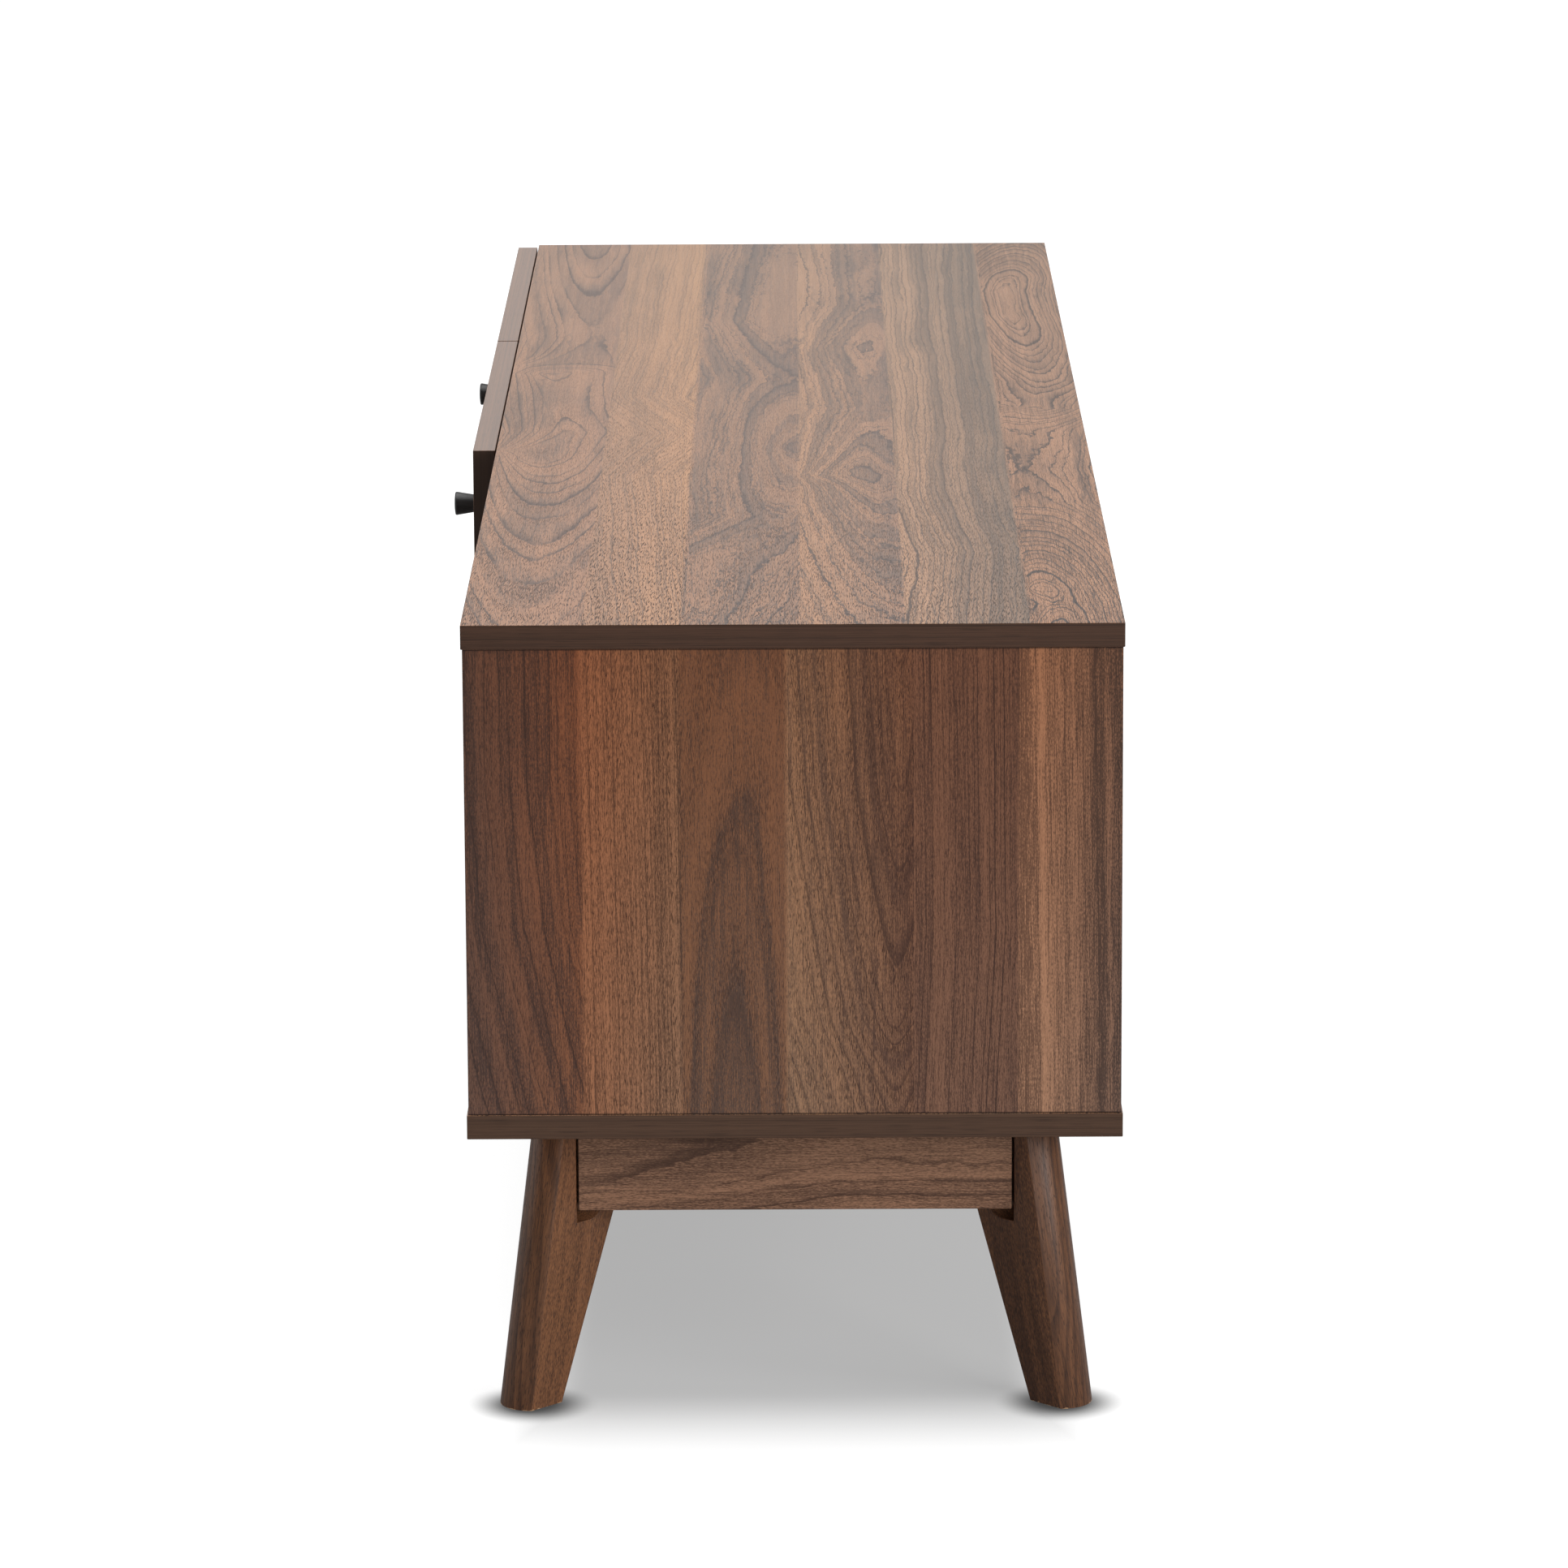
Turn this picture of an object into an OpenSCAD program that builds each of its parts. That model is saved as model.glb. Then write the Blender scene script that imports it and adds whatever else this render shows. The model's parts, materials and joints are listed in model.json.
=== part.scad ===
// Low sideboard on splayed legs: an open bay on the right, and two drawers over open niches.
// Left and right are as seen by someone facing the front, which looks along -Y.

/* [Carcass] */
// Length of the top and bottom slabs
length = 1500; // [1440:10:1560]
// Depth of the top and bottom slabs
depth = 400; // [390:5:420]
// Total height with the legs
height = 500; // [490:5:520]
// Height of the box above the legs
box_height = 320; // [310:5:330]
// Thickness of slabs, panels, shelves and fronts
board = 15; // [15:1:16]
// How far the slabs stand proud of the upright panels
lip = 1; // [0.5:0.5:2]
// Length of the open bay, with its end panel
bay_length = 600; // [580:5:620]
// Thickness of the back panels and drawer bottoms
thin_board = 3; // [3:0.5:4]

/* [Drawers] */
// Height of a drawer front
front_height = 157; // [150:1:160]
// Gap between the top surface and a front's top edge
front_drop = 2; // [1:0.5:3]
// Gap between the two fronts
front_seam = 2; // [1.5:0.5:3]
// Gap between a closed front and the carcass
front_gap = 1.3; // [1:0.1:2]
// Thickness of the drawer sides and back
drawer_board = 12; // [12:1:13]
// Height of the drawer sides
drawer_height = 100; // [90:1:104]
// Length of the drawer sides
drawer_length = 355; // [340:1:360]
// Length of a runner
runner_length = 350; // [330:1:355]
// How far a knob stands out from its front
knob_reach = 23; // [20:0.5:26]
// Diameter of a knob's outer end
knob_wide = 16.6; // [14:0.2:18]
// Diameter of a knob's foot
knob_narrow = 9.6; // [8:0.2:12]

/* [Legs] */
// Thickness of a leg board, which stands on the corner's diagonal
leg_thick = 28.5; // [27:0.5:30]
// How far the leg's outer edge bulges past its flat faces
leg_bulge = 6; // [5:0.5:7]
// From the slab's corner to the flat face's outer edge, at the foot
foot_inset = 37.5; // [35:0.5:40]
// From the slab's corner to the flat face's outer edge, under the slab
top_inset = 69; // [66:0.5:72]
// Width of the leg's flat face at the foot
foot_width = 25.5; // [24:0.5:28]
// Width of the leg's flat face under the slab
top_width = 66; // [64:0.5:68]
// Height of the rails between the legs
apron_height = 58; // [54:1:60]
// From the slab's edge to a rail's outer face
apron_inset = 45; // [44:0.5:46]
// From the slab's corner to a rail's end, along the rail
apron_end = 66.5; // [66:0.5:68]
// Thickness of the glide under each foot
glide_thick = 1.5; // [1:0.5:2]

/* [Hidden] */
$fn = 48;

// Colours
walnut = [0.42, 0.28, 0.19];
leg_brown = [0.35, 0.22, 0.15];
board_grey = [0.60, 0.55, 0.48];
black = [0.07, 0.07, 0.07];
zinc = [0.72, 0.73, 0.74];
beech = [0.80, 0.66, 0.46];

// Carcass levels and faces; the slabs' middle is at X 0, Y 0 before place() moves it
half_l = length / 2;
half_d = depth / 2;
leg_height = height - box_height;
floor_z = leg_height + board;
ceil_z = height - board;
shelf_z = (floor_z + ceil_z) / 2;
panel_y = half_d - lip;
side_in = half_l - lip - board;
side_x = side_in + board / 2;
bay_left = half_l - bay_length;
part_right_x = bay_left - board / 2;
part_left_x = (bay_left - board - side_in) / 2;
column_w = part_right_x - part_left_x - board;
left_x = (part_left_x - board / 2 - side_in) / 2;
middle_x = (part_left_x + part_right_x) / 2;
back_y = panel_y - 13;
groove = 5;
slack = 0.1;
shelf_depth = back_y + panel_y - 0.5;
over = 1;

// Joinery: a joint is [point on the seam, direction into the board drilled on its face]
dowel_d = 8;
dowel_l = 30;
face_bore = 11;
cam_d = 15;
cam_set = 24;
bolt_thread = 5;
bolt_head = 6.6;
bolt_bore = 7.6;
cam_ys = [-140, 120];
dowel_ys = [-100, 80];
shelf_dowel_spread = 90;
left_shelf_y = -30;
middle_shelf_y = 10;
pin_ys = [-150, 140];
pin_d = 5;
pin_in = 8;
pin_pitch = 32;

// Drawers
front_in_y = -half_d - front_gap;
front_out_y = front_in_y - board;
front_top = height - front_drop;
front_w = (bay_left + half_l - front_seam) / 2;
left_front_x = -half_l + front_w / 2;
middle_front_x = bay_left - front_w / 2;
knob_z = front_top - front_height / 2;
runner_thick = 12.7;
drawer_w = column_w - 2 * runner_thick;
drawer_z = shelf_z + board / 2 + 14.5;
drawer_back_y = front_in_y + drawer_length;
drawer_side_x = (drawer_w - drawer_board) / 2;
bottom_lift = 8;
runner_z = drawer_z + drawer_height / 2;
runner_y = -half_d + 2;
joint_rise = 30;
steel = 1.2;
rail_screw_ys = [-150, 10, 130];
rail_screw_step = 16;
screw_d = 3.5;
screw_head_d = 7;
screw_head_h = 1.8;
screw_l = 12;

// Legs and rails
corner_run = (half_l + half_d) / sqrt(2);
apron_low = leg_height - apron_height;
wall_gap = 1.5;
runout_r = 8;
bolt_z = leg_height - 30;
bolt_d = 8;
bolt_l = 62;
plate_at = top_inset + top_width + 0.5;
plate_t = 2;
bracket_h = 44;
bracket_z = leg_height - 6 - bracket_h;
flange_l = 28;
apron_dowel_xs = [-500, -170, 170, 500];
apron_dowel_ys = [-90, 90];
glide_d = 18;
glide_nail_d = 2;
glide_nail_l = 14;

// The origin is under the middle of the whole object's box, whose front is the knobs' outer end
y_shift = (knob_reach - front_out_y - half_d) / 2;

module place() translate([0, y_shift, 0]) children();
module span(low, high) translate(low) cube(high - low);

function turn(d) =
    d.x != 0 ? [0, 90 * d.x, 0] :
    d.y != 0 ? [-90 * d.y, 0, 0] :
    d.z < 0 ? [180, 0, 0] : [0, 0, 0];

function edge_joints(x, ys) = [
    for (y = ys, end = [[ceil_z, 1], [floor_z, -1]]) [[x, y, end[0]], [0, 0, end[1]]]
];
function shelf_joints(x, ys) = [
    for (y = ys, s = [-1, 1]) [[x + s * column_w / 2, y, shelf_z], [s, 0, 0]]
];
function shelf_dowel_ys(y) = [y - shelf_dowel_spread, y + shelf_dowel_spread];

upright_xs = [-side_x, part_left_x, part_right_x, side_x];
upright_cam_side = [1, -1, -1, -1];
left_shelf_dowels = shelf_joints(left_x, shelf_dowel_ys(left_shelf_y));
left_shelf_bolts = shelf_joints(left_x, [left_shelf_y]);
middle_shelf_dowels = shelf_joints(middle_x, shelf_dowel_ys(middle_shelf_y));
middle_shelf_bolts = shelf_joints(middle_x, [middle_shelf_y]);
shelf_dowels = concat(left_shelf_dowels, middle_shelf_dowels);
shelf_bolts = concat(left_shelf_bolts, middle_shelf_bolts);
apron_y = half_d - apron_inset - board / 2;
apron_x = half_l - apron_inset - board / 2;
apron_dowels = concat(
    [for (x = apron_dowel_xs, s = [-1, 1]) [[x, s * apron_y, leg_height], [0, 0, 1]]],
    [for (y = apron_dowel_ys, s = [-1, 1]) [[s * apron_x, y, leg_height], [0, 0, 1]]]
);

module dowel(joint)
    translate(joint[0]) rotate(turn(joint[1]))
        translate([0, 0, face_bore - dowel_l]) cylinder(d = dowel_d, h = dowel_l);

module dowel_hole(joint)
    translate(joint[0]) rotate(turn(joint[1]))
        translate([0, 0, face_bore - dowel_l - 0.5])
            cylinder(d = dowel_d + slack, h = dowel_l + 1);

module cam_bolt(joint)
    translate(joint[0]) rotate(turn(joint[1])) {
        cylinder(d = bolt_thread, h = face_bore - 0.5);
        translate([0, 0, -16]) cylinder(d = bolt_head, h = 16);
        translate([0, 0, -22]) cylinder(d = 4, h = 6.5);
        translate([0, 0, -cam_set - 1]) cylinder(d = bolt_head, h = 3.5);
    }

module cam_bolt_hole(joint)
    translate(joint[0]) rotate(turn(joint[1])) {
        cylinder(d = bolt_thread + slack, h = face_bore);
        translate([0, 0, -cam_set]) cylinder(d = bolt_bore, h = cam_set);
    }

// A cam lies in a blind bore whose mouth is on the face that points along side
module cam_at(joint, side, thick)
    translate(joint[0] - cam_set * joint[1] + thick / 2 * side) rotate(turn(side))
        children();

module cam_hole(joint, side, thick)
    cam_at(joint, side, thick) translate([0, 0, 2.5 - thick])
        cylinder(d = cam_d, h = thick - 2.5 + over);

module cam(joint, side, thick)
    difference() {
        cam_at(joint, side, thick) translate([0, 0, 2.8 - thick])
            cylinder(d = cam_d - 2 * slack, h = thick - 3.1);
        cam_at(joint, side, thick) for (a = [0, 90])
            rotate(a + 45) translate([-4, -0.9, -2]) cube([8, 1.8, 3]);
        translate(joint[0]) rotate(turn(joint[1]))
            translate([0, 0, -cam_set - 2]) cylinder(d = bolt_bore, h = cam_set);
    }

// Pan-head wood screw: the shank runs along +Z from the head's underside
module screw(long = screw_l, head = screw_head_d) {
    cylinder(d = screw_d, h = long);
    translate([0, 0, -screw_head_h]) difference() {
        cylinder(d = head, h = screw_head_h);
        for (a = [0, 90]) rotate(a) translate([-head / 4, -0.4, -0.01]) cube([head / 2, 0.8, 1]);
    }
}
module screw_hole(long = screw_l) translate([0, 0, -over]) cylinder(d = screw_d + slack, h = long + over + 0.5);

// Slabs
module slab_bores(low, high) {
    for (i = [0:3]) {
        for (j = edge_joints(upright_xs[i], dowel_ys))
            if (j[0].z >= low && j[0].z <= high) dowel_hole(j);
        for (j = edge_joints(upright_xs[i], cam_ys))
            if (j[0].z >= low && j[0].z <= high) cam_bolt_hole(j);
    }
}
module back_groove(z)
    for (x = [[-side_in, part_left_x - board / 2], [part_left_x + board / 2, bay_left - board],
              [bay_left, side_in]])
        span([x[0] - groove, back_y - slack, z - groove],
             [x[1] + groove, back_y + thin_board + slack, z + groove]);

module top_panel()
    place() color(walnut) difference() {
        span([-half_l, -half_d, ceil_z], [half_l, half_d, height]);
        slab_bores(ceil_z, height);
        back_groove(ceil_z);
    }

module bottom_panel()
    place() color(walnut) difference() {
        span([-half_l, -half_d, leg_height], [half_l, half_d, floor_z]);
        slab_bores(leg_height, floor_z);
        for (j = apron_dowels) dowel_hole(j);
        back_groove(floor_z);
    }

// Upright panels: i counts from the left
module upright_blank(i) {
    x = upright_xs[i];
    side = [upright_cam_side[i], 0, 0];
    difference() {
        span([x - board / 2, -panel_y, floor_z], [x + board / 2, panel_y, ceil_z]);
        for (j = edge_joints(x, dowel_ys)) dowel_hole(j);
        for (j = edge_joints(x, cam_ys)) {
            cam_bolt_hole(j);
            cam_hole(j, side, board);
        }
    }
}
module upright_back_groove(face_x)
    span([face_x - groove, back_y - slack, floor_z - over],
         [face_x + groove, back_y + thin_board + slack, ceil_z + over]);

module shelf_bores(dowels, bolts) {
    for (j = dowels) dowel_hole(j);
    for (j = bolts) cam_bolt_hole(j);
}

function at_x(joints, x) = [for (j = joints) if (abs(j[0].x - x) < 0.1) j];
module wall_bores(face_x)
    shelf_bores(at_x(shelf_dowels, face_x), at_x(shelf_bolts, face_x));

// Runner screws: s is the column side, -1 left and +1 right; the right side's are set back
function case_screw_ys(s) = [for (y = rail_screw_ys) y + (s > 0 ? rail_screw_step : 0)];
module case_screws(column_x, s)
    for (y = case_screw_ys(s))
        translate([column_x + s * (column_w / 2 - steel), y, runner_z])
            rotate([0, 90 * s, 0]) children();

module pin_holes(face_x)
    for (y = pin_ys, k = [-1, 0, 1])
        translate([face_x, y, shelf_z - board / 2 - pin_d / 2 + k * pin_pitch])
            rotate([0, 90, 0]) translate([0, 0, -pin_in - 0.5])
                cylinder(d = pin_d + slack, h = 2 * pin_in + 1);

module left_side_panel()
    place() color(walnut) difference() {
        upright_blank(0);
        upright_back_groove(-side_in);
        wall_bores(-side_in);
        case_screws(left_x, -1) screw_hole();
    }

module left_partition()
    place() color(walnut) difference() {
        upright_blank(1);
        for (s = [-1, 1]) {
            upright_back_groove(part_left_x + s * board / 2);
            wall_bores(part_left_x + s * board / 2);
        }
        case_screws(left_x, 1) screw_hole();
        case_screws(middle_x, -1) screw_hole();
    }

module right_partition()
    place() color(walnut) difference() {
        upright_blank(2);
        for (s = [-1, 1]) upright_back_groove(part_right_x + s * board / 2);
        wall_bores(part_right_x - board / 2);
        case_screws(middle_x, 1) screw_hole();
        intersection() {
            pin_holes(bay_left);
            span([bay_left - pin_in - 1, -half_d, 0], [bay_left + over, half_d, height]);
        }
    }

module right_side_panel()
    place() color(walnut) difference() {
        upright_blank(3);
        upright_back_groove(side_in);
        intersection() {
            pin_holes(side_in);
            span([side_in - over, -half_d, 0], [side_in + pin_in + 1, half_d, height]);
        }
    }

// Shelves
module fixed_shelf(x, dowels, bolts)
    place() color(walnut) difference() {
        span([x - column_w / 2, -panel_y, shelf_z - board / 2],
             [x + column_w / 2, shelf_depth - panel_y, shelf_z + board / 2]);
        shelf_bores(dowels, bolts);
        for (j = bolts) cam_hole(j, [0, 0, -1], board);
    }
module left_fixed_shelf() fixed_shelf(left_x, left_shelf_dowels, left_shelf_bolts);
module middle_fixed_shelf() fixed_shelf(middle_x, middle_shelf_dowels, middle_shelf_bolts);

module bay_shelf()
    place() color(walnut)
        span([bay_left + 1, -panel_y + 4, shelf_z - board / 2],
             [side_in - 1, shelf_depth - panel_y, shelf_z + board / 2]);

module shelf_pins()
    place() color(zinc)
        for (y = pin_ys, side = [[bay_left, 1], [side_in, -1]])
            translate([side[0], y, shelf_z - board / 2 - pin_d / 2]) rotate([0, 90 * side[1], 0])
                translate([0, 0, -pin_in]) cylinder(d = pin_d, h = 2 * pin_in);

// Back panels
module back_panel(low_x, high_x)
    place() color(board_grey)
        span([low_x - groove + 0.5, back_y, floor_z - groove + 0.5],
             [high_x + groove - 0.5, back_y + thin_board, ceil_z + groove - 0.5]);
module left_back_panel() back_panel(-side_in, part_left_x - board / 2);
module middle_back_panel() back_panel(part_left_x + board / 2, bay_left - board);
module right_back_panel() back_panel(bay_left, side_in);

// Corner frame, drawn at the front right corner and mirrored to the others
module at_corner(sx, sy) mirror([sx < 0 ? 1 : 0, 0, 0]) mirror([0, sy > 0 ? 1 : 0, 0]) children();
module on_diagonal() translate([half_l, -half_d, 0]) rotate([0, 0, -45]) children();

module bracket_screw_places()
    for (z = [bracket_z + 10, bracket_z + bracket_h - 10]) {
        translate([half_l - apron_inset - board - plate_t, -flange_mid_y, z])
            rotate([0, 90, 0]) children();
        translate([flange_mid_x, -(half_d - apron_inset - board - plate_t), z])
            rotate([90, 0, 0]) children();
    }
// Where the diagonal plate meets each rail's inner face
plate_sum = (corner_run - plate_at) * sqrt(2);
flange_y = plate_sum - (half_l - apron_inset - board);
flange_x = plate_sum - (half_d - apron_inset - board);
flange_mid_y = flange_y - flange_l / 2 - 2;
flange_mid_x = flange_x - flange_l / 2 - 2;

module corner_bracket()
    difference() {
        union() {
            intersection() {
                on_diagonal() translate([-plate_at - plate_t, -80, bracket_z])
                    cube([plate_t, 160, bracket_h]);
                span([0, -(half_d - apron_inset - board), 0],
                     [half_l - apron_inset - board, 0, height]);
            }
            translate([half_l - apron_inset - board - plate_t, -flange_y, bracket_z])
                cube([plate_t, flange_l, bracket_h]);
            translate([flange_x - flange_l, -(half_d - apron_inset - board), bracket_z])
                cube([flange_l, plate_t, bracket_h]);
        }
        bracket_screw_places() translate([0, 0, -over])
            cylinder(d = screw_d + 0.6, h = plate_t + 2 * over);
        on_diagonal() translate([-plate_at - plate_t - over, 0, bolt_z]) rotate([0, 90, 0])
            cylinder(d = bolt_d + 1, h = plate_t + 2 * over);
    }
module corner_brackets()
    place() color(zinc) for (sx = [-1, 1], sy = [-1, 1]) at_corner(sx, sy) corner_bracket();

module bracket_screws()
    place() color(zinc) for (sx = [-1, 1], sy = [-1, 1])
        at_corner(sx, sy) bracket_screw_places() screw();

module hanger_bolt()
    on_diagonal() translate([-plate_at - plate_t - 12, 0, bolt_z]) rotate([0, 90, 0])
        cylinder(d = bolt_d, h = bolt_l);
module hanger_bolts()
    place() color(zinc) for (sx = [-1, 1], sy = [-1, 1]) at_corner(sx, sy) hanger_bolt();

module leg_nut()
    on_diagonal() translate([-plate_at - plate_t, 0, bolt_z]) rotate([0, -90, 0]) difference() {
        union() {
            cylinder(d = 17, h = 1.5);
            cylinder(d = 14.6, h = 7, $fn = 6);
        }
        translate([0, 0, -over]) cylinder(d = bolt_d + slack, h = 10);
    }
module leg_nuts()
    place() color(zinc) for (sx = [-1, 1], sy = [-1, 1]) at_corner(sx, sy) leg_nut();

// Leg: a tapered board on the diagonal, whose outer edge is a shallow arc between crisp creases
lean = atan((top_inset - foot_inset) / leg_height);
arc_r = (pow(leg_thick / 2, 2) + pow(leg_bulge, 2)) / (2 * leg_bulge);
module leg_section()
    intersection() {
        union() {
            translate([leg_bulge - arc_r, 0]) circle(r = arc_r, $fn = 96);
            translate([-160, -leg_thick / 2]) square([160 - arc_r + leg_bulge, leg_thick]);
            translate([-arc_r, -leg_thick / 2]) square([arc_r, leg_thick]);
        }
        translate([-160, -leg_thick / 2]) square([160 + leg_bulge + 1, leg_thick]);
    }
function inner_at(z) = foot_inset + foot_width
    + (top_inset + top_width - foot_inset - foot_width) * z / leg_height;
module leg_blank()
    on_diagonal() intersection() {
        translate([-foot_inset, 0, 0]) rotate([0, -lean, 0]) translate([0, 0, -40])
            linear_extrude(height = leg_height + 80) leg_section();
        rotate([90, 0, 0]) translate([0, 0, -leg_thick]) linear_extrude(height = 2 * leg_thick)
            polygon([[-inner_at(glide_thick), glide_thick], [0, glide_thick], [0, leg_height],
                     [-inner_at(leg_height), leg_height]]);
    }
// Groove for the end of a side rail, with a rounded run-out below it
module rail_groove()
    translate([half_l - apron_inset - board, -half_d + apron_end - wall_gap, 0])
        rotate([90, 0, 0]) mirror([0, 0, 1]) linear_extrude(height = 60) {
            translate([0, apron_low]) square([60, apron_height + over]);
            translate([runout_r, apron_low]) circle(r = runout_r);
            translate([runout_r, apron_low - runout_r]) square([60, runout_r + over]);
        }
module across_diagonal()
    translate([half_l, -half_d, 0]) mirror([1, 1, 0]) translate([-half_l, half_d, 0]) children();
foot_mid = foot_inset + foot_width / 2;
module leg()
    difference() {
        leg_blank();
        rail_groove();
        across_diagonal() rail_groove();
        on_diagonal() translate([-plate_at - 20, 0, bolt_z]) rotate([0, 90, 0])
            cylinder(d = bolt_d + slack, h = bolt_l + 20 - plate_t - 11.5);
        on_diagonal() translate([-foot_mid, 0, 0])
            cylinder(d = glide_nail_d + slack, h = glide_thick + glide_nail_l + 0.5);
    }
module placed_leg(sx, sy) place() color(leg_brown) at_corner(sx, sy) leg();
module front_left_leg() placed_leg(-1, -1);
module front_right_leg() placed_leg(1, -1);
module rear_left_leg() placed_leg(-1, 1);
module rear_right_leg() placed_leg(1, 1);

module foot_glides()
    place() color(black) for (sx = [-1, 1], sy = [-1, 1]) at_corner(sx, sy)
        on_diagonal() translate([-foot_mid, 0, 0]) {
            cylinder(d = glide_d, h = glide_thick);
            cylinder(d = glide_nail_d, h = glide_thick + glide_nail_l);
        }

// Rails between the legs
module bracket_screw_bores() for (sx = [-1, 1], sy = [-1, 1])
    at_corner(sx, sy) bracket_screw_places() screw_hole();
module long_apron(s)
    place() color(walnut) difference() {
        span([-half_l + apron_end, s * apron_y - board / 2, apron_low],
             [half_l - apron_end, s * apron_y + board / 2, leg_height]);
        for (j = apron_dowels) if (abs(j[0].y - s * apron_y) < 1) dowel_hole(j);
        intersection() {
            bracket_screw_bores();
            span([-half_l, s * apron_y - board, 0], [half_l, s * apron_y + board, height]);
        }
    }
module side_apron(s)
    place() color(walnut) difference() {
        span([s * apron_x - board / 2, -half_d + apron_end, apron_low],
             [s * apron_x + board / 2, half_d - apron_end, leg_height]);
        for (j = apron_dowels) if (abs(j[0].x - s * apron_x) < 1) dowel_hole(j);
        intersection() {
            bracket_screw_bores();
            span([s * apron_x - board, -half_d, 0], [s * apron_x + board, half_d, height]);
        }
    }
module front_apron() long_apron(-1);
module rear_apron() long_apron(1);
module left_apron() side_apron(-1);
module right_apron() side_apron(1);

// Loose joinery
module dowels()
    place() color(beech) {
        for (x = upright_xs, j = edge_joints(x, dowel_ys)) dowel(j);
        for (j = shelf_dowels) dowel(j);
        for (j = apron_dowels) dowel(j);
    }
module cam_bolts()
    place() color(zinc) {
        for (x = upright_xs, j = edge_joints(x, cam_ys)) cam_bolt(j);
        for (j = shelf_bolts) cam_bolt(j);
    }
module cam_locks()
    place() color(zinc) {
        for (i = [0:3], j = edge_joints(upright_xs[i], cam_ys))
            cam(j, [upright_cam_side[i], 0, 0], board);
        for (j = shelf_bolts) cam(j, [0, 0, -1], board);
    }
module runner_screws()
    place() color(zinc) for (x = [left_x, middle_x], s = [-1, 1]) case_screws(x, s) screw();

// Drawer parts: x is the middle of the drawer's column, front_x the middle of its front
function front_joints(x, s) = [
    for (k = [-1, 1])
        [[x + s * drawer_side_x, front_in_y, runner_z + k * joint_rise], [0, -1, 0]]
];
module back_screws(x)
    for (s = [-1, 1], k = [-1, 1])
        translate([x + s * drawer_w / 2, drawer_back_y - drawer_board / 2, runner_z + k * joint_rise])
            rotate([0, -90 * s, 0]) translate([0, 0, screw_head_h]) children();
module drawer_rail_screws(x)
    for (s = [-1, 1], y = rail_screw_ys)
        translate([x + s * (drawer_w / 2 + steel), y - 8, runner_z]) rotate([0, -90 * s, 0])
            children();
module bottom_slot(x)
    span([x - drawer_w / 2 + drawer_board - groove, front_in_y - groove,
          drawer_z + bottom_lift - slack],
         [x + drawer_w / 2 - drawer_board + groove, drawer_back_y - drawer_board + groove,
          drawer_z + bottom_lift + thin_board + slack]);

module drawer_front(x, front_x)
    place() color(walnut) difference() {
        span([front_x - front_w / 2, front_out_y, front_top - front_height],
             [front_x + front_w / 2, front_in_y, front_top]);
        for (s = [-1, 1], j = front_joints(x, s)) cam_bolt_hole(j);
        translate([front_x, front_in_y, knob_z]) rotate([90, 0, 0]) translate([0, 0, -over])
            cylinder(d = 4.5, h = board + 2 * over);
        bottom_slot(x);
    }

module drawer_side(x, s)
    place() color(walnut) difference() {
        span([x + s * drawer_side_x - drawer_board / 2, front_in_y, drawer_z],
             [x + s * drawer_side_x + drawer_board / 2, drawer_back_y, drawer_z + drawer_height]);
        bottom_slot(x);
        for (j = front_joints(x, s)) {
            cam_bolt_hole(j);
            cam_hole(j, [-s, 0, 0], drawer_board);
        }
        back_screws(x) {
            screw_hole(30);
        }
        back_screws(x) translate([0, 0, -screw_head_h - over])
            cylinder(d = screw_head_d + 0.4, h = screw_head_h + over);
        drawer_rail_screws(x) screw_hole();
    }

module drawer_back(x)
    place() color(walnut) difference() {
        span([x - drawer_w / 2 + drawer_board, drawer_back_y - drawer_board, drawer_z],
             [x + drawer_w / 2 - drawer_board, drawer_back_y, drawer_z + drawer_height]);
        bottom_slot(x);
        back_screws(x) screw_hole(30);
    }

module drawer_bottom(x)
    place() color(board_grey)
        span([x - drawer_w / 2 + drawer_board - groove + 0.5, front_in_y - groove + 0.5,
              drawer_z + bottom_lift],
             [x + drawer_w / 2 - drawer_board + groove - 0.5,
              drawer_back_y - drawer_board + groove - 0.5, drawer_z + bottom_lift + thin_board]);

// Knob: a cone that flares outwards, with a softened rim and a slightly domed end
rim_r = 1.2;
dome = 0.5;
insert_d = 4;
insert_l = 14;
module knob(front_x) {
    r0 = knob_narrow / 2;
    r1 = knob_wide / 2;
    rim = knob_reach - dome - rim_r;
    place() color(black) translate([front_x, front_out_y, knob_z]) rotate([90, 0, 0]) difference() {
        rotate_extrude($fn = 64) polygon(concat(
            [[0, 0], [r0, 0], [r0 + (r1 - r0) * 0.5, rim * 0.5]],
            [for (a = [0:15:90]) [r1 - rim_r + rim_r * cos(a), rim + rim_r * sin(a)]],
            [[r1 * 0.45, knob_reach - 0.12], [0, knob_reach]]
        ));
        translate([0, 0, -over]) cylinder(d = insert_d + slack, h = insert_l + over);
    }
}
module knob_screw(front_x)
    place() color(zinc) translate([front_x, front_in_y, knob_z]) rotate([90, 0, 0]) {
        cylinder(d = insert_d, h = board + insert_l - 1);
        translate([0, 0, -2.4]) difference() {
            cylinder(d = 8.5, h = 2.4);
            for (a = [0, 90]) rotate(a) translate([-2.4, -0.5, -0.01]) cube([4.8, 1, 1.4]);
        }
    }

module drawer_cams(x)
    place() color(zinc) for (s = [-1, 1], j = front_joints(x, s)) {
        cam_bolt(j);
        cam(j, [-s, 0, 0], drawer_board);
    }
module drawer_screws(x)
    place() color(zinc) {
        back_screws(x) screw(30);
        drawer_rail_screws(x) screw();
    }

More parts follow.
